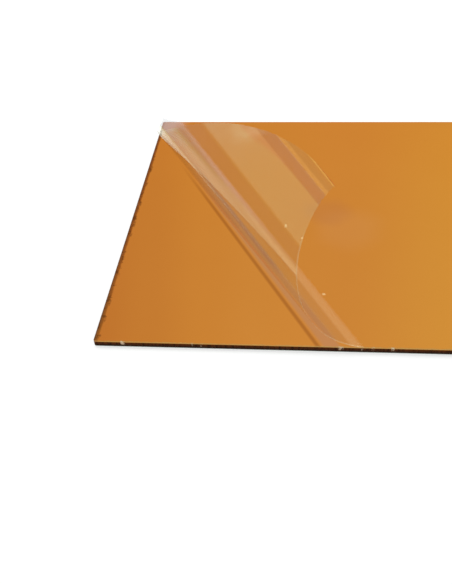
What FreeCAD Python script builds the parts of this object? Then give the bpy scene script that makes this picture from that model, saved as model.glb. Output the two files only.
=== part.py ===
import FreeCAD, Part
import math
import os
from FreeCAD import Rotation, Vector

# Aluminium composite panel, cut to a stock size and lying on its back: two thin aluminium
# skins bonded to a dark plastic core, and a clear protective film on the mirror face. One
# corner of the film is peeled off and curls back over the sheet. Millimetres; the origin is
# the middle of the underside, X runs along the sheet and Z is up.

# Sheet
LENGTH = 600.0
WIDTH = 300.0
BACK_SKIN = 0.3
CORE = 3.4
FRONT_SKIN = 0.3
CORNER_RADIUS = 1.5

# Protective film. It lifts off along a straight line from the front edge to the back edge, whose
# two ends are this far from the sheet's left end.
FILM = 0.15
LIFT_AT_FRONT = 166.0
LIFT_AT_BACK = 24.0

# The loose corner is curled up as part of a cone, so that it would unroll flat. The cone's tip
# is in line with the lift line, this far before its front end. The radii are those of the curl
# at the lift line, half-way round to the film's corner and at the corner, all measured as far
# from the cone's tip as the corner is. The very tip of the corner is blunted by a narrow strip.
CONE_TIP = 460.0
RADIUS_AT_LIFT = 43.5
RADIUS_HALF_WAY = 35.5
RADIUS_AT_CORNER = 28.5
BLUNTED = 0.6

# The curled edges are cubic curves of this many spans, each worked out in small steps, and the
# film is straight between them.
SPANS = 24
STEPS_IN_SPAN = 10
CUBIC = 3
STRAIGHT = 1


def slab(thickness, underside):
    """A layer of the sheet, with the outline that all layers share."""
    block = Part.makeBox(LENGTH, WIDTH, thickness, Vector(-LENGTH / 2, -WIDTH / 2, underside))
    upright = [edge for edge in block.Edges if abs(edge.tangentAt(edge.FirstParameter).z) > 0.5]
    return block.makeFillet(CORNER_RADIUS, upright)


class Ruling:
    """One of the straight lines that the loose corner is made of, all of them from the cone's tip.

    It has a direction on the flat film, and once curled a direction, the way in which the curl
    goes on from it, the side that faces the inside of the curl, and a bend to the radian."""

    def __init__(self, angle, direction, onward, inward):
        self.flat = along * math.cos(angle) - square * math.sin(angle)
        self.flat_onward = along * -math.sin(angle) - square * math.cos(angle)
        self.direction = direction
        self.onward = onward
        self.inward = inward
        self.bend = bend(angle)


def bend(angle):
    """How much the film is bent at an angle from the lift line, to the radian."""
    share = angle / corner_angle
    if share < 0.5:
        share, start, end = share * 2, RADIUS_AT_LIFT, RADIUS_HALF_WAY
    else:
        share, start, end = share * 2 - 1, RADIUS_HALF_WAY, RADIUS_AT_CORNER
    return corner_reach * ((1 - share) / start + share / end)


def curl():
    """The rulings at even angles from the lift line to the blunted corner."""
    last = corner_angle - BLUNTED / corner_reach
    step = last / (SPANS * STEPS_IN_SPAN)
    direction, onward, inward = along, square * -1, Vector(0, 0, 1)
    rulings = [Ruling(0, direction, onward, inward)]
    for i in range(SPANS * STEPS_IN_SPAN):
        axis = direction * bend((i + 0.5) * step) + inward
        turn = Rotation(axis, math.degrees(axis.Length * step))
        direction, onward, inward = [turn.multVec(v) for v in (direction, onward, inward)]
        if (i + 1) % STEPS_IN_SPAN == 0:
            rulings.append(Ruling((i + 1) * step, direction, onward, inward))
    return rulings, last / SPANS


def curled_edge(rulings, span, way, up):
    """What a straight edge of the flat film becomes, this far up from its underside.

    The edge runs through the film's corner in the given way."""
    places, slopes = [], []
    for ruling in rulings:
        reach = (corner - cone_tip).cross(way).z / ruling.flat.cross(way).z
        growth = reach * way.dot(ruling.flat) / way.dot(ruling.flat_onward)
        places.append(cone_tip + ruling.direction * reach + ruling.inward * up)
        across = ruling.onward * (reach - up * ruling.bend)
        slopes.append(ruling.direction * growth + across)
    return smooth(places, [slope * (span / CUBIC) for slope in slopes])


def smooth(places, thirds):
    """The curve through places at even steps, given a third of each step along its slope."""
    poles = [places[0]]
    for i in range(len(places) - 1):
        poles += [places[i] + thirds[i], places[i + 1] - thirds[i + 1]]
    poles.append(places[-1])
    steps = len(places) - 1
    knots = [i / steps for i in range(steps + 1)]
    repeats = [CUBIC + 1] + [CUBIC - 1] * (steps - 1) + [CUBIC + 1]
    curve = Part.BSplineCurve()
    curve.buildFromPolesMultsKnots(poles, repeats, knots, False, CUBIC)
    return curve


def ruled(first, second):
    """The face of straight lines between two curves that have the same knots."""
    surface = Part.BSplineSurface()
    surface.buildFromPolesMultsKnots(
        [list(pair) for pair in zip(first.getPoles(), second.getPoles())],
        first.getMultiplicities(),
        [STRAIGHT + 1, STRAIGHT + 1],
        first.getKnots(),
        [0, 1],
        False,
        False,
        first.Degree,
        STRAIGHT,
    )
    return surface.toShape()


def straight(start, end):
    return Part.LineSegment(start, end).toBSpline()


def loose_corner():
    """The peeled corner: its two sides and the four edges between them, ended at the sheet's back."""
    rulings, span = curl()
    under_front, over_front = [curled_edge(rulings, span, Vector(1, 0, 0), up) for up in (0, FILM)]
    under_left, over_left = [curled_edge(rulings, span, Vector(0, 1, 0), up) for up in (0, FILM)]
    faces = [
        ruled(under_front, under_left),
        ruled(over_front, over_left),
        ruled(under_front, over_front),
        ruled(under_left, over_left),
    ]
    for end in (0, 1):
        under = straight(under_front.value(end), under_left.value(end))
        over = straight(over_front.value(end), over_left.value(end))
        faces.append(ruled(under, over))
    shell = Part.makeShell(faces)
    shell.sewShape()
    solid = Part.makeSolid(Part.Shell(shell.Faces))
    if solid.Volume < 0:
        solid.reverse()
    past_back = Part.makeBox(LENGTH, WIDTH, LENGTH, Vector(-LENGTH, WIDTH / 2, 0))
    return solid.cut(past_back)


def laid_film():
    """The film that still sticks to the mirror face: the sheet's outline less the peeled side."""
    past = Vector(-LENGTH, 0, 0)
    corners = [lift_front, lift_back, lift_back + past, lift_front + past, lift_front]
    peeled = Part.Face(Part.makePolygon(corners)).extrude(Vector(0, 0, FILM))
    return slab(FILM, top).cut(peeled)


top = BACK_SKIN + CORE + FRONT_SKIN
corner = Vector(-LENGTH / 2, -WIDTH / 2, top)
lift_front = corner + Vector(LIFT_AT_FRONT, 0, 0)
lift_back = corner + Vector(LIFT_AT_BACK, WIDTH, 0)
along = (lift_back - lift_front).normalize()
square = Vector(along.y, -along.x, 0)
cone_tip = lift_front - along * CONE_TIP
corner_reach = (corner - cone_tip).Length
corner_angle = math.atan2(-square.dot(corner - cone_tip), along.dot(corner - cone_tip))

nodes = {
    "back_skin": slab(BACK_SKIN, 0),
    "core": slab(CORE, BACK_SKIN),
    "front_skin": slab(FRONT_SKIN, BACK_SKIN + CORE),
    "protective_film": laid_film().fuse(loose_corner()),
}

os.makedirs("parts", exist_ok=True)
for name, shape in nodes.items():
    shape.exportStep("parts/" + name + ".step")
    print(name, shape.BoundBox)
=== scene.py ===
import math

import bpy
import numpy as np
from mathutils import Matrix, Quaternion, Vector


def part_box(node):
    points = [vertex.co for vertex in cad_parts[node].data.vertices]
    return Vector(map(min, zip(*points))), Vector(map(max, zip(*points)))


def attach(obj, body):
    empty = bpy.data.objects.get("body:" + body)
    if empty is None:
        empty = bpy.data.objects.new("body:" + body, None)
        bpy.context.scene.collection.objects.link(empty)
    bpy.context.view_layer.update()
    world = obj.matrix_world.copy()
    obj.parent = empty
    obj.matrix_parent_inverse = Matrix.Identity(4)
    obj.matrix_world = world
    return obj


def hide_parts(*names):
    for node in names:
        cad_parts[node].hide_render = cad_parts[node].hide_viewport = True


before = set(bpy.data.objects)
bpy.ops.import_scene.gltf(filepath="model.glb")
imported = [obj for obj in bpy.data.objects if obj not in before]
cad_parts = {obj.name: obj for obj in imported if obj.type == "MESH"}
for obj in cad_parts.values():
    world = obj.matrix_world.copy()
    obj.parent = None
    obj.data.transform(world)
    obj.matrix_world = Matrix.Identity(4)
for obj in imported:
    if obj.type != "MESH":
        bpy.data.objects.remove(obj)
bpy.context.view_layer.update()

# A sheet of aluminium composite panel with a gold mirror face, lying on its back, and its
# protective film, whose front left corner is peeled off and curls back over it. Metres, in the
# frame of the solids, with left at -X and the front at -Y as in the photograph.
#
# A fade is a pair of values: up to the first one something is absent, and from the second one on
# it is there in full. Either may be the larger.

MM = 0.001

# The sheet, from the frame
(LEFT, FRONT, _), (RIGHT, BACK, TOP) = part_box("front_skin")
WIDTH = BACK - FRONT
CORNER_RADIUS = 1.5 * MM

# The film: where it lifts off, measured from the sheet's left end, and the cone that its loose
# corner is curled into. The cone's tip is in line with the lift line, before its front end. The
# radii are those at the lift line, half-way round and at the film's corner, all of them as far
# from the cone's tip as the corner is. The very tip of the corner is blunted by a narrow strip.
FILM_GAP = 0.02 * MM
FILM = 0.13 * MM
LIFT_AT_FRONT = 166 * MM
LIFT_AT_BACK = 24 * MM
CONE_TIP = 460 * MM
RADIUS_AT_LIFT = 43.5 * MM
RADIUS_HALF_WAY = 35.5 * MM
RADIUS_AT_CORNER = 28.5 * MM
BLUNTED = 0.6 * MM

# The film's grid, which is finer near the lift line where it lies on the sheet
STEPS_AROUND = 300
STEPS_ALONG = 110
STEPS_ACROSS_SHEET = 40
CROWDING = 1.6
SHARP_FROM = math.radians(50)

# Noise: its scale, detail and roughness
WAVES = (9, 1, 0.4)
HAZE = (6, 4, 0.65)
RAGGED_MARGIN = (260, 3, 0.6)
CHIPS = (170, 3, 0.65)
BURR_OUTLINE = (900, 2, 0.6)
BURR_GAPS = (600, 2, 0.6)
SAW_TEETH = (900, 3, 0.6)
TEARS = (420, 4, 0.7)
MILL_LINES = (1500, 2, 0.5)
MILL_CLOUD = (12, 3, 0.6)
RIPPLE = (18, 1, 0.4)
SCUFFS = (38, 5, 0.7)
SMUDGE_GRAIN = (160, 3, 0.6)

# How noise is drawn out: upright, along the sheet and across it
UPRIGHT = (1.0, 1.0, 0.12)
ALONG_SHEET = (0.02, 1.0, 1.0)
ACROSS_SHEET = (1.0, 0.35, 1.0)

# A round patch, for a radius of 1: the fade from its rim to its full middle, and the noise of its
# outline
PATCH_FADE = (1.0, 0.35)
PATCH_OUTLINE = (0.6, 2, 0.6)

# The gold coat's two tones, which its haze mixes, and how far it is from flat
GOLD = (0.64, 0.238, 0.031)
WARM_GOLD = (0.68, 0.262, 0.037)
WAVE_HEIGHT = 0.05 * MM
ROLLED_FADE = (0.0, 2.8 * MM)
ROLLED_DEPTH = 0.2 * MM
HAZE_ROUGHNESS = 0.06
WORN_ROUGHNESS = 0.4

# The worn margins of the gold coat, as fades from the left edge and from the front one. Their
# outlines are ragged. The left one ends before the sheet's back edge.
RAGGED_BY = 1.6 * MM
LEFT_MARGIN = (4.0 * MM, 2.6 * MM)
LEFT_RIM = (2.2 * MM, 1.4 * MM)
CHIPPED_MARGIN = (5.0 * MM, 3.8 * MM)
CHIP_OUTLINE = (0.53, 0.61)
BEFORE_BACK = (135 * MM, 122 * MM)
FRONT_MARGIN = (1.9 * MM, 1.0 * MM)

# The curl's reflection, painted on the bare mirror face: a dark line from the sheet's front edge
# to its faint far end, a faint band to the right of it, and in that band a greyer second line that
# starts further back. The fades are off a line's middle, and for the far end in shares of the
# line's length.
REFLECTED_LINE_START = (-0.1651, -0.149)
REFLECTED_LINE_END = (-0.2785, 0.078)
REFLECTED_LINE_FAR_END = (1.0, 0.6)
REFLECTED_LINE_FADE = (2.2 * MM, 0.22 * MM)
SECOND_AT = 10.6 * MM
SECOND_LINE = (2.6 * MM, 0.52 * MM)
SECOND_FRONT_END = (-92 * MM, -67 * MM)
REFLECTED_BAND_START = (1.1 * MM, 4.4 * MM)
REFLECTED_BAND_END = (13.5 * MM, SECOND_AT)

# Torn pale burrs along the front edge, in its upper part: where each is along it, how wide and
# how strong. Each fades off its middle, in shares of its width.
BURRS = [
    (-0.2820, 2.6 * MM, 1.0),
    (-0.2397, 1.0 * MM, 0.4),
    (-0.2342, 1.4 * MM, 0.4),
    (-0.1513, 3.0 * MM, 0.8),
    (-0.1390, 1.0 * MM, 0.5),
    (-0.1326, 1.2 * MM, 0.5),
    (-0.1210, 1.8 * MM, 0.9),
]
BURR_FADE = (0.65, 0.35)
BURR_RAGGED_BY = 2.4 * MM
BURR_HEIGHT = (0.35 * TOP, 0.55 * TOP)
BURR_GAP_OUTLINE = (0.42, 0.52)
BURR_COLOUR = (0.72, 0.50, 0.34)

# Faint marks, each a place, a size and how ragged it is: on the mirror face a painted shade where
# the mirror would show the curl's tip, a cloud and a painted pale reflection at the back left
# corner, a pale smudge on the curl, and specks of dust on the film
SHADE = ((-0.1465, -0.0085, 0.004), 24 * MM, 0.8)
CLOUD = ((-0.133, -0.029, 0.004), 34 * MM, 0.8)
CORNER_REFLECTION = ((-0.298, 0.146, 0.004), 26 * MM, 0.5)
SMUDGE = ((-0.2085, -0.031, 0.084), 17 * MM, 1.2)
SPECKS = [
    ((-0.1857, -0.1107, 0.0630), 1.1 * MM, 1.0),
    ((-0.1769, -0.1229, 0.0633), 0.9 * MM, 1.0),
    ((-0.1578, -0.1041, 0.0041), 1.3 * MM, 1.0),
]
SPECK_STRENGTH = 0.5
SPECK_COLOUR = (0.95, 0.56, 0.25)

# What is laid on the gold coat, from the first to the last: how strong it is and its colour
COAT_MARKS = {
    "cloud": (0.10, (0.74, 0.40, 0.16)),
    # a painted shade where the mirror would show the curl's tip, and a painted pale reflection at
    # the back left corner
    "shade": (0.15, (0.40, 0.14, 0.08)),
    "corner reflection": (0.7, (0.76, 0.57, 0.43)),
    # the curl's painted reflection: a faint band, a greyer second line and a dark line
    "reflected band": (1.0, (0.58, 0.25, 0.075)),
    "second line": (1.0, (0.46, 0.20, 0.08)),
    "reflected line": (0.52, (0.28, 0.070, 0.010)),
    "left margin": (0.9, (0.35, 0.085, 0.018)),
    "left rim": (0.7, (0.19, 0.080, 0.040)),
    "chips": (0.55, (0.10, 0.028, 0.008)),
    "front margin": (0.6, (0.50, 0.25, 0.10)),
    "burrs": (1.0, BURR_COLOUR),
}

# The sawn core, warmer in its upper part, with upright saw marks and paler torn spots
CORE_LOWER = (0.046, 0.017, 0.009)
CORE_UPPER = (0.120, 0.026, 0.003)
CORE_UPPER_FADE = (0.3 * TOP, 0.75 * TOP)
SAW_MARK = (0.022, 0.006, 0.002)
SAW_MARK_OUTLINE = (0.6, 0.3)
SAW_MARK_DEPTH = 0.12 * MM
TORN = (0.20, 0.10, 0.05)
TORN_OUTLINE = (0.66, 0.74)
TORN_DEPTH = 0.1 * MM

# The back skin's coat: its two greys and the mill's fine lines
GREY = (0.40, 0.40, 0.39)
PALE_GREY = (0.47, 0.47, 0.455)
COAT_ROUGHNESS = 0.38
MILL_LINE = (0.58, 0.58, 0.57)
MILL_LINE_STRENGTH = 0.35
MILL_LINE_DEPTH = 0.015 * MM
MILL_LINE_ROUGHNESS = 0.12

# Each point of the film keeps its place on the flat film, and how far round the curl it is, from
# 0 at the lift line to 1 at the corner. Near the corner a band of the film has a painted dim
# reflection, and from there on it is cloudy. Its front cut edge is paler, until it is some way
# round.
FLAT = "flat"
DIM_BAND = (0.745, 0.79)
DIM_BAND_SOFT = 0.012
CUT_EDGE = (1.2 * MM, 0.48 * MM)
CUT_AROUND = (0.65, 0.5)
SCUFF_OUTLINE = (0.62, 0.8)
LOOSE_HEIGHT = (TOP + 2 * FILM, TOP + 3 * FILM)

# How much the film mirrors when seen square on, how much more at a glance, and where that is
# dulled: in front, where it is seen nearly at a glance, and where it is past the sheet's left end
SQUARE_ON = 0.05
AT_GLANCE = 0.5
GLANCE_POWER = 5.0
DULL = 0.6
DULL_FACING = (0.56, 0.70)
DULL_IN_FRONT = (115 * MM, 80 * MM)
PAST_LEFT = (LEFT + 3 * MM, LEFT - 3 * MM)
PAST_LEFT_DULL = 0.9
RIPPLE_HEIGHT = 0.05 * MM

# The painted colour of the film's reflection, set by place: at its front, at its back, where it is
# cloudy and in its dim band, and the haze over it: its colour and how strong each part of it is
FRONT_SHEEN = (1.0, 0.74, 0.46)
BACK_SHEEN = (1.0, 0.97, 0.92)
BACK_SHEEN_FADE = (-80 * MM, 40 * MM)
CLOUDY_SHEEN = (1.0, 0.54, 0.14)
DIM_BAND_SHEEN = (0.2, 0.24, 0.32)
FILM_HAZE = (0.95, 0.72, 0.48)
FILM_HAZES = {"scuffs": 0.02, "cloudy": 0.015, "cut edge": 0.10, "smudge": 0.08}

# The view of the photograph
CAMERA_AT = Vector((-201.04, -363.40, 243.12)) * MM
LOOK_AT = Vector((-221.84, -103.67, 4.0)) * MM
ROLL = math.radians(-2.03)
LENS_MM = 32.98
SENSOR_MM = 36.0

# What mirrors see of the studio: the wall from left to right, a window overhead and at the upper
# left, and the dim part low down. The fades are in the look's own x, y and z.
WALL = [
    (0.26, (0.70, 0.66, 0.32)),
    (0.34, (0.78, 0.66, 0.76)),
    (0.40, (0.85, 0.80, 0.91)),
    (0.45, (0.91, 0.90, 1.00)),
    (0.50, (0.93, 0.95, 1.12)),
    (0.57, (0.95, 0.96, 1.15)),
    (0.68, (1.00, 1.13, 1.20)),
]
WINDOW = (0.92, 1.38, 1.22)
WINDOW_OVERHEAD = (0.755, 0.78)
WINDOW_UPPER = (0.32, 0.44)
WINDOW_SIDE = (0.61, 0.55)
DIM = (0.32, 0.36, 0.42)
DIM_LOW = (0.42, 0.30)

# What mirrors see of the floor: its tones from close by to far off, and where they change
FLOOR_FADE = (0.32, 0.66)
FLOOR_TONES = [
    (0.0, (1.10, 1.25, 1.10)),
    (0.12, (1.06, 1.22, 0.98)),
    (0.5, (0.56, 0.74, 0.34)),
    (1.0, (0.36, 0.37, 0.30)),
]
FLOOR_REACH = 6.0


# Node helpers


class Nodes:
    """Adds nodes to one tree and links them."""

    def __init__(self, tree):
        self.tree = tree
        tree.nodes.clear()

    def add(self, kind, inputs=None, **settings):
        node = self.tree.nodes.new(kind)
        for name, value in settings.items():
            setattr(node, name, value)
        for key, value in (inputs or {}).items():
            if isinstance(value, bpy.types.NodeSocket):
                self.tree.links.new(value, node.inputs[key])
            else:
                node.inputs[key].default_value = value
        return node

    def math(self, operation, *values):
        return self.add("ShaderNodeMath", dict(enumerate(values)), operation=operation).outputs[0]

    def plus(self, first, second):
        return self.math("ADD", first, second)

    def minus(self, first, second):
        return self.math("SUBTRACT", first, second)

    def times(self, first, second):
        return self.math("MULTIPLY", first, second)

    def most(self, first, second):
        return self.math("MAXIMUM", first, second)

    def fade(self, value, absent, full):
        """0 where the value is at absent or beyond, and 1 from full on, with a smooth step."""
        inputs = {"Value": value, "From Min": absent, "From Max": full}
        return self.add("ShaderNodeMapRange", inputs, interpolation_type="SMOOTHSTEP").outputs[0]

    def ramp(self, factor, stops, interpolation="LINEAR"):
        node = self.add("ShaderNodeValToRGB", {"Fac": factor})
        node.color_ramp.interpolation = interpolation
        elements = node.color_ramp.elements
        while len(elements) < len(stops):
            elements.new(0.5)
        for element, (position, colour) in zip(elements, stops):
            element.position = position
            element.color = (*colour, 1)
        return node.outputs["Color"]

    def mix(self, share, first, second):
        """The first colour, with a share of the second one in its place."""
        inputs = {0: share}
        for index, colour in ((6, first), (7, second)):
            linked = isinstance(colour, bpy.types.NodeSocket)
            inputs[index] = colour if linked else (*colour, 1)
        return self.add("ShaderNodeMix", inputs, data_type="RGBA").outputs[2]

    def noise(self, vector, scale, detail, roughness):
        inputs = {"Vector": vector, "Scale": scale, "Detail": detail, "Roughness": roughness}
        return self.add("ShaderNodeTexNoise", inputs).outputs[0]

    def stretch(self, vector, scale):
        return self.add("ShaderNodeMapping", {"Vector": vector, "Scale": scale}).outputs[0]

    def bump(self, height, distance=1.0):
        inputs = {"Height": height, "Distance": distance, "Strength": 1.0}
        return self.add("ShaderNodeBump", inputs).outputs[0]

    def place(self):
        """The point's place on the object, in metres."""
        return self.add("ShaderNodeTexCoord").outputs["Object"]

    def patch(self, spot, centre, radius, ragged):
        """1 in the middle of a round patch and 0 outside, with an outline as ragged as stated."""
        inputs = {0: spot, 1: centre}
        off = self.add("ShaderNodeVectorMath", inputs, operation="DISTANCE").outputs["Value"]
        scale, detail, roughness = PATCH_OUTLINE
        wobble = self.minus(self.noise(spot, scale / radius, detail, roughness), 0.5)
        off = self.plus(off, self.times(wobble, ragged * radius))
        return self.fade(off, *(share * radius for share in PATCH_FADE))

    def split(self, vector):
        return self.add("ShaderNodeSeparateXYZ", {0: vector}).outputs

    def shader(self, kind, inputs):
        return self.add(kind, inputs).outputs[0]

    def blend(self, share, first, second):
        """The first shader, with a share of the second one in its place."""
        return self.shader("ShaderNodeMixShader", {0: share, 1: first, 2: second})

    def finish(self, surface, output="ShaderNodeOutputMaterial"):
        self.add(output, {"Surface": surface})


def material(name):
    made = bpy.data.materials.new(name)
    made.use_nodes = True
    return made, Nodes(made.node_tree)


# Materials


def curl_reflection_masks(n, x, y):
    """Where the curl's painted reflection lies: its dark line, the faint band to its right and the
    second line in that band. All three fade out at the line's far end."""
    length = math.dist(REFLECTED_LINE_START, REFLECTED_LINE_END)
    along = [(end - start) / length for start, end in zip(REFLECTED_LINE_START, REFLECTED_LINE_END)]
    right = n.minus(x, REFLECTED_LINE_START[0])
    back = n.minus(y, REFLECTED_LINE_START[1])
    reach = n.plus(n.times(right, along[0]), n.times(back, along[1]))
    off = n.minus(n.times(right, along[1]), n.times(back, along[0]))
    second = n.fade(n.math("ABSOLUTE", n.minus(off, SECOND_AT)), *SECOND_LINE)
    masks = {
        "reflected line": n.fade(n.math("ABSOLUTE", off), *REFLECTED_LINE_FADE),
        "reflected band": n.times(n.fade(off, *REFLECTED_BAND_START), n.fade(off, *REFLECTED_BAND_END)),
        "second line": n.times(second, n.fade(y, *SECOND_FRONT_END)),
    }
    before_end = n.fade(reach, *(share * length for share in REFLECTED_LINE_FAR_END))
    return {name: n.times(mask, before_end) for name, mask in masks.items()}


def burr_mask(n, spot):
    """Where the torn burrs are along the front edge, and how strong each is."""
    x, _, z = n.split(spot)
    wobble = n.times(n.minus(n.noise(spot, *BURR_OUTLINE), 0.5), BURR_RAGGED_BY)
    found = 0.0
    for at, width, strength in BURRS:
        off = n.math("ABSOLUTE", n.minus(n.plus(x, wobble), at))
        burr = n.fade(off, *(share * width for share in BURR_FADE))
        found = n.most(found, n.times(burr, strength))
    found = n.times(found, n.fade(n.plus(z, wobble), *BURR_HEIGHT))
    return n.times(found, n.fade(n.noise(spot, *BURR_GAPS), *BURR_GAP_OUTLINE))


def coat_masks(n, spot):
    """Where each of the gold coat's marks is, by its name in COAT_MARKS."""
    x, y, _ = n.split(spot)
    ragged = n.times(n.noise(spot, *RAGGED_MARGIN), RAGGED_BY)
    from_left = n.plus(n.minus(x, LEFT), ragged)
    from_front = n.plus(n.minus(y, FRONT), ragged)
    chips = n.fade(n.noise(spot, *CHIPS), *CHIP_OUTLINE)
    masks = {
        "left margin": n.fade(from_left, *LEFT_MARGIN),
        "left rim": n.fade(from_left, *LEFT_RIM),
        "chips": n.times(chips, n.fade(from_left, *CHIPPED_MARGIN)),
    }
    before_back = n.fade(y, *BEFORE_BACK)
    masks = {name: n.times(mask, before_back) for name, mask in masks.items()}
    masks["front margin"] = n.fade(from_front, *FRONT_MARGIN)
    masks["burrs"] = n.times(burr_mask(n, spot), masks["front margin"])
    # the curl's painted reflection
    masks.update(curl_reflection_masks(n, x, y))
    # a cloud, a painted shade where the mirror would show the curl's tip and a painted pale
    # reflection at the back left corner
    for name, mark in (("cloud", CLOUD), ("shade", SHADE), ("corner reflection", CORNER_REFLECTION)):
        masks[name] = n.patch(spot, *mark)
    return masks


def mirror_gold():
    """The gold mirror coat: faintly wavy and marked, dulled along the two sawn edges that the
    photo shows and rolled down at the left one."""
    made, n = material("mirror_gold")
    spot = n.place()
    from_left = n.minus(n.split(spot)["X"], LEFT)
    haze = n.noise(spot, *HAZE)
    masks = coat_masks(n, spot)
    coat = n.mix(haze, GOLD, WARM_GOLD)
    # some of these marks are painted reflections and a painted shade of the curl
    for name, (strength, colour) in COAT_MARKS.items():
        coat = n.mix(n.times(masks[name], strength), coat, colour)
    worn = n.most(masks["left margin"], masks["front margin"])
    rolled = n.times(n.fade(from_left, *ROLLED_FADE), ROLLED_DEPTH)
    wave = n.times(n.noise(spot, *WAVES), WAVE_HEIGHT)
    surface = {
        "Base Color": coat,
        "Metallic": 1.0,
        "Roughness": n.plus(n.times(worn, WORN_ROUGHNESS), n.times(haze, HAZE_ROUGHNESS)),
        "Specular Tint": (0.95, 0.65, 0.50, 1),
        "Normal": n.bump(n.plus(rolled, wave)),
    }
    n.finish(n.shader("ShaderNodeBsdfPrincipled", surface))
    return made


def sawn_core():
    """Dark plastic with the upright marks of the saw, a few paler torn spots and the burrs."""
    made, n = material("sawn_core")
    spot = n.place()
    teeth = n.noise(n.stretch(spot, UPRIGHT), *SAW_TEETH)
    tears = n.noise(spot, *TEARS)
    colour = n.mix(n.fade(n.split(spot)["Z"], *CORE_UPPER_FADE), CORE_LOWER, CORE_UPPER)
    colour = n.mix(n.fade(teeth, *SAW_MARK_OUTLINE), colour, SAW_MARK)
    colour = n.mix(n.fade(tears, *TORN_OUTLINE), colour, TORN)
    surface = {
        "Base Color": n.mix(burr_mask(n, spot), colour, BURR_COLOUR),
        "Roughness": 0.6,
        "Specular IOR Level": 0.03,
        "Normal": n.bump(n.plus(n.times(teeth, SAW_MARK_DEPTH), n.times(tears, TORN_DEPTH))),
    }
    n.finish(n.shader("ShaderNodeBsdfPrincipled", surface))
    return made


def service_coat():
    """The thin grey coat of the back skin, with the mill's fine lines along the sheet."""
    made, n = material("service_coat")
    spot = n.place()
    lines = n.noise(n.stretch(spot, ALONG_SHEET), *MILL_LINES)
    colour = n.mix(n.noise(spot, *MILL_CLOUD), GREY, PALE_GREY)
    surface = {
        "Base Color": n.mix(n.times(lines, MILL_LINE_STRENGTH), colour, MILL_LINE),
        "Metallic": 0.35,
        "Roughness": n.plus(n.times(lines, MILL_LINE_ROUGHNESS), COAT_ROUGHNESS),
        "Normal": n.bump(lines, MILL_LINE_DEPTH),
    }
    n.finish(n.shader("ShaderNodeBsdfPrincipled", surface))
    return made


def film_mirrored(n, x, y, loose):
    """How much the film mirrors: little square on, much at a glance, and nothing where it is
    stuck down."""
    facing = n.add("ShaderNodeLayerWeight", {"Blend": 0.5}).outputs["Facing"]
    glance = n.math("POWER", facing, GLANCE_POWER)
    mirrored = n.times(n.plus(n.times(glance, AT_GLANCE), SQUARE_ON), loose)
    dull = n.times(n.fade(facing, *DULL_FACING), n.fade(y, *DULL_IN_FRONT))
    for mask, strength in ((dull, DULL), (n.fade(x, *PAST_LEFT), PAST_LEFT_DULL)):
        mirrored = n.times(mirrored, n.minus(1.0, n.times(mask, strength)))
    return mirrored


def film_sheen(n, y, around, cloudy):
    """The painted colour of the film's reflection, set by place."""
    # a band of painted dim reflection near the corner
    dim_band_start = n.fade(around, DIM_BAND[0] - DIM_BAND_SOFT, DIM_BAND[0])
    dim_band_end = n.fade(around, DIM_BAND[1] + DIM_BAND_SOFT, DIM_BAND[1])
    # the reflection's colour is painted by place: warm in front, white at the back
    sheen = n.mix(n.fade(y, *BACK_SHEEN_FADE), FRONT_SHEEN, BACK_SHEEN)
    sheen = n.mix(cloudy, sheen, CLOUDY_SHEEN)
    return n.mix(n.times(dim_band_start, dim_band_end), sheen, DIM_BAND_SHEEN)


def film_haze(n, spot, flat_y, around, cloudy):
    """How hazy the film is where it is loose."""
    scuffs = n.noise(n.stretch(spot, ACROSS_SHEET), *SCUFFS)
    cut_edge = n.fade(n.minus(flat_y, FRONT), *CUT_EDGE)
    masks = {
        "scuffs": n.fade(scuffs, *SCUFF_OUTLINE),
        "cloudy": cloudy,
        "cut edge": n.times(cut_edge, n.fade(around, *CUT_AROUND)),
        "smudge": n.times(n.patch(spot, *SMUDGE), n.noise(spot, *SMUDGE_GRAIN)),
    }
    haze = 0.0
    for name, strength in FILM_HAZES.items():
        haze = n.plus(haze, n.times(masks[name], strength))
    return haze


def clear_film():
    """Thin clear film that mirrors where it is loose, in a colour painted by place, with a faint
    haze and specks of dust.
    """
    made, n = material("clear_film")
    spot = n.place()
    x, y, z = n.split(spot)
    on_flat = n.add("ShaderNodeAttribute", attribute_name=FLAT).outputs["Vector"]
    _, flat_y, around = n.split(on_flat)
    loose = n.fade(z, *LOOSE_HEIGHT)
    cloudy = n.fade(around, DIM_BAND[1], DIM_BAND[1] + DIM_BAND_SOFT)
    specks = 0.0
    for speck in SPECKS:
        specks = n.most(specks, n.patch(spot, *speck))
    mirror = {
        "Color": film_sheen(n, y, around, cloudy),
        "Roughness": 0.05,
        "Normal": n.bump(n.noise(spot, *RIPPLE), RIPPLE_HEIGHT),
    }
    clear = n.shader("ShaderNodeBsdfTransparent", {"Color": (0.985, 0.985, 0.985, 1)})
    gloss = n.shader("ShaderNodeBsdfAnisotropic", mirror)
    dust = n.shader("ShaderNodeBsdfDiffuse", {"Color": n.mix(specks, FILM_HAZE, SPECK_COLOUR)})
    body = n.blend(film_mirrored(n, x, y, loose), clear, gloss)
    haze = n.times(film_haze(n, spot, flat_y, around, cloudy), loose)
    n.finish(n.blend(n.most(haze, n.times(specks, SPECK_STRENGTH)), body, dust))
    return made


# Film


def turned(vectors, axis):
    """The vectors turned around an axis, by an angle in radians that is the axis's length."""
    angle = np.linalg.norm(axis)
    axis = axis / angle
    turned_square = np.cross(axis, vectors) * math.sin(angle)
    kept = np.outer(vectors @ axis, axis) * (1 - math.cos(angle))
    return vectors * math.cos(angle) + turned_square + kept


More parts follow.
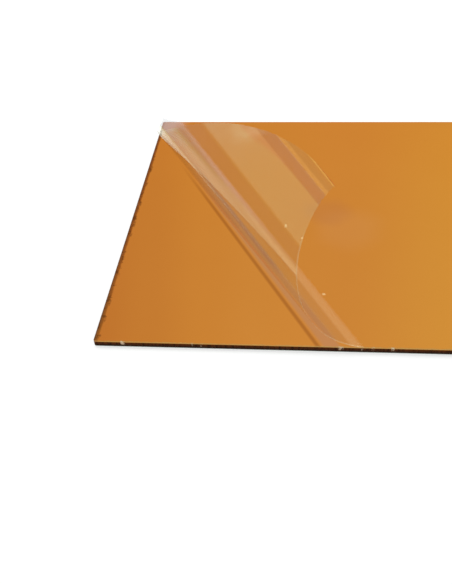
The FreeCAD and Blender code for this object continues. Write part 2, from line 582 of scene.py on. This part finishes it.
def curl_grid():
    """Points of the loose corner, from the lift line round to the corner, the same points on the
    flat film, and the side of each row that faces the inside of the curl.

    Each row is a straight line from the front cut edge to the left one, or to the sheet's back
    where it ends first. It points to the cone's tip and has turned up and over from the sheet."""
    corner = np.array([LEFT, FRONT, TOP + FILM_GAP])
    lift_front = corner + [LIFT_AT_FRONT, 0, 0]
    lift_back = corner + [LIFT_AT_BACK, WIDTH, 0]
    along = (lift_back - lift_front) / np.linalg.norm(lift_back - lift_front)
    square = np.array([along[1], -along[0], 0])
    cone_tip = lift_front - along * CONE_TIP
    corner_reach = np.linalg.norm(corner - cone_tip)
    corner_angle = math.atan2(-square @ (corner - cone_tip), along @ (corner - cone_tip))
    step = (corner_angle - BLUNTED / corner_reach) / STEPS_AROUND
    radii = (RADIUS_AT_LIFT, RADIUS_HALF_WAY, RADIUS_AT_CORNER)
    bends = [corner_reach / radius for radius in radii]
    way = np.array([along, -square, [0, 0, 1]])
    rows, flat_rows, inward = [], [], []
    for i in range(STEPS_AROUND + 1):
        angle = i * step
        flat = along * math.cos(angle) - square * math.sin(angle)
        front_reach = (corner - cone_tip)[1] / flat[1]
        left_reach = (corner - cone_tip)[0] / flat[0]
        back_reach = (BACK - cone_tip[1]) / way[0][1]
        reaches = np.linspace(front_reach, min(left_reach, back_reach), STEPS_ALONG + 1)
        rows.append(cone_tip + reaches[:, None] * way[0])
        on_flat = (cone_tip + reaches[:, None] * flat) * (1, 1, 0)
        flat_rows.append(on_flat + (0, 0, i / STEPS_AROUND))
        inward.append(way[2])
        bend = np.interp((angle + step / 2) / corner_angle, [0, 0.5, 1], bends)
        way = turned(way, (way[0] * bend + way[2]) * step)
    return np.array(rows), np.array(flat_rows), np.array(inward)


def rounded(inset):
    """How far the sheet's end is held back by a corner's arc, this far in from the corner."""
    short = max(CORNER_RADIUS - inset, 0.0)
    return CORNER_RADIUS - math.sqrt(max(CORNER_RADIUS**2 - short**2, 0.0))


def laid_grid(lift):
    """Points of the film that still lies on the sheet, from the lift line to its right end."""
    shares = np.linspace(0, 1, STEPS_ACROSS_SHEET + 1) ** CROWDING
    columns = []
    for x, y, z in lift:
        inset = min(y - FRONT, BACK - y)
        end = RIGHT - rounded(max(inset, 0.0))
        column = x + (end - x) * shares
        columns.append(np.column_stack([column, np.full_like(shares, y), np.full_like(shares, z)]))
    return np.array(columns).transpose(1, 0, 2)


def film_faces(rows_laid, rows_curled, width):
    """Faces of the film's underside, over rows of points that are width long.

    The laid rows come first. The curled rows carry on from the first laid one, the other way."""
    order = [list(range(row * width, (row + 1) * width)) for row in range(rows_laid + rows_curled)]
    strips = [(order[row + 1], order[row]) for row in range(rows_laid - 1)]
    loose = [order[0]] + order[rows_laid:]
    strips += [(loose[row], loose[row + 1]) for row in range(rows_curled)]
    faces = []
    for first, second in strips:
        for i in range(width - 1):
            faces.append((first[i], first[i + 1], second[i + 1], second[i]))
    return faces


def film_shell(under, over, top_faces):
    """The film's mesh: its two sides, whose points are in the same order, and the rim."""
    pairs = {pair for face in top_faces for pair in zip(face, face[1:] + face[:1])}
    rim = sorted((a, b) for a, b in pairs if (b, a) not in pairs)
    count = len(under)
    shell = [tuple(i + count for i in face) for face in top_faces]
    shell += [face[::-1] for face in top_faces]
    shell += [(a, b, b + count, a + count) for a, b in rim]
    mesh = bpy.data.meshes.new("film")
    mesh.from_pydata(np.concatenate([under, over]).tolist(), [], shell)
    mesh.polygons.foreach_set("use_smooth", [True] * len(shell))
    mesh.set_sharp_from_angle(angle=SHARP_FROM)
    return mesh


def make_film():
    curl, curl_flat, inward = curl_grid()
    laid = laid_grid(curl[0])
    width = curl.shape[1]
    under = np.concatenate([laid.reshape(-1, 3), curl[1:].reshape(-1, 3)])
    upward = np.tile([0.0, 0.0, 1.0], (len(laid) * width, 1))
    over = under + np.concatenate([upward, np.repeat(inward[1:], width, axis=0)]) * FILM
    mesh = film_shell(under, over, film_faces(len(laid), len(curl) - 1, width))
    flat = np.concatenate([laid.reshape(-1, 3) * (1, 1, 0), curl_flat[1:].reshape(-1, 3)])
    places = mesh.attributes.new(FLAT, "FLOAT_VECTOR", "POINT")
    places.data.foreach_set("vector", np.tile(flat, (2, 1)).ravel())
    mesh.update()
    film = bpy.data.objects.new("film", mesh)
    # The mirror doesn't show the film: its reflection is painted on the gold coat instead
    film.visible_glossy = False
    bpy.context.scene.collection.objects.link(film)
    film.data.materials.append(clear_film())
    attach(film, "root")
    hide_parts("protective_film")


# Studio


def make_camera():
    data = bpy.data.cameras.new("camera")
    data.lens = LENS_MM
    data.sensor_width = SENSOR_MM
    data.clip_start = 0.01
    data.clip_end = 50
    camera = bpy.data.objects.new("camera", data)
    bpy.context.scene.collection.objects.link(camera)
    camera.location = CAMERA_AT
    camera.rotation_mode = "QUATERNION"
    level = (LOOK_AT - CAMERA_AT).to_track_quat("-Z", "Y")
    camera.rotation_quaternion = level @ Quaternion((0, 0, 1), ROLL)
    bpy.context.scene.camera = camera


def make_world():
    """A pale studio: white behind the object, and in mirrors the wall, the window and the dim
    part low down. The object is lit evenly."""
    world = bpy.data.worlds.new("studio")
    bpy.context.scene.world = world
    world.use_nodes = True
    n = Nodes(world.node_tree)
    path = n.add("ShaderNodeLightPath").outputs
    x, y, z = n.split(n.add("ShaderNodeTexCoord").outputs["Generated"])
    wall = n.ramp(n.plus(n.times(x, 0.5), 0.5), WALL, "EASE")
    upper_left = n.times(n.fade(y, *WINDOW_SIDE), n.fade(z, *WINDOW_UPPER))
    wall = n.mix(n.most(n.fade(z, *WINDOW_OVERHEAD), upper_left), wall, WINDOW)
    wall = n.mix(n.fade(z, *DIM_LOW), wall, DIM)
    white = n.shader("ShaderNodeBackground", {"Color": (1, 1, 1, 1), "Strength": 1.0})
    studio = n.shader("ShaderNodeBackground", {"Color": wall, "Strength": 1.0})
    fill = n.shader("ShaderNodeBackground", {"Color": (1, 1, 1, 1), "Strength": 0.55})
    lit = n.blend(path["Is Diffuse Ray"], studio, fill)
    n.finish(n.blend(path["Is Camera Ray"], lit, white), "ShaderNodeOutputWorld")


def pale_floor():
    """White behind the object, with its shadow. In mirrors it has the tones of FLOOR_TONES."""
    made, n = material("floor")
    path = n.add("ShaderNodeLightPath").outputs
    plain = n.shader("ShaderNodeBsdfDiffuse", {"Color": (0.8, 0.8, 0.8, 1)})
    shaded = n.shader("ShaderNodeBsdfDiffuse", {"Color": (0.5, 0.5, 0.5, 1)})
    glow = n.shader("ShaderNodeEmission", {"Color": (1, 1, 1, 1), "Strength": 0.56})
    pale = n.shader("ShaderNodeAddShader", {0: shaded, 1: glow})
    far = n.add("ShaderNodeVectorMath", {0: n.place()}, operation="LENGTH").outputs["Value"]
    tone = n.ramp(n.fade(far, *FLOOR_FADE), FLOOR_TONES)
    mirrored = n.shader("ShaderNodeEmission", {"Color": tone, "Strength": 1.0})
    unseen = n.blend(path["Is Glossy Ray"], plain, mirrored)
    n.finish(n.blend(path["Is Camera Ray"], unseen, pale))
    return made


def make_floor():
    mesh = bpy.data.meshes.new("floor")
    signs = ((-1, -1), (1, -1), (1, 1), (-1, 1))
    corners = [(x * FLOOR_REACH, y * FLOOR_REACH, 0) for x, y in signs]
    mesh.from_pydata(corners, [], [(0, 1, 2, 3)])
    mesh.materials.append(pale_floor())
    floor = bpy.data.objects.new("floor", mesh)
    bpy.context.scene.collection.objects.link(floor)


def make_lamp(name, at, aim, size, power):
    data = bpy.data.lights.new(name, "AREA")
    data.shape = "RECTANGLE"
    data.size, data.size_y = size
    data.energy = power
    lamp = bpy.data.objects.new(name, data)
    bpy.context.scene.collection.objects.link(lamp)
    lamp.location = at
    lamp.rotation_mode = "QUATERNION"
    lamp.rotation_quaternion = (Vector(aim) - Vector(at)).to_track_quat("-Z", "Y")
    lamp.visible_glossy = False


def dress(node, made):
    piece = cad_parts[node]
    piece.data.materials.clear()
    piece.data.materials.append(made)


bpy.context.scene.view_settings.view_transform = "Standard"
bpy.context.scene.cycles.transparent_max_bounces = 32
make_camera()
make_world()
make_floor()
make_lamp("softbox", at=(-0.9, 0.9, 2.0), aim=(-0.1, 0, 0), size=(2.2, 1.6), power=34)
dress("front_skin", mirror_gold())
dress("core", sawn_core())
dress("back_skin", service_coat())
make_film()
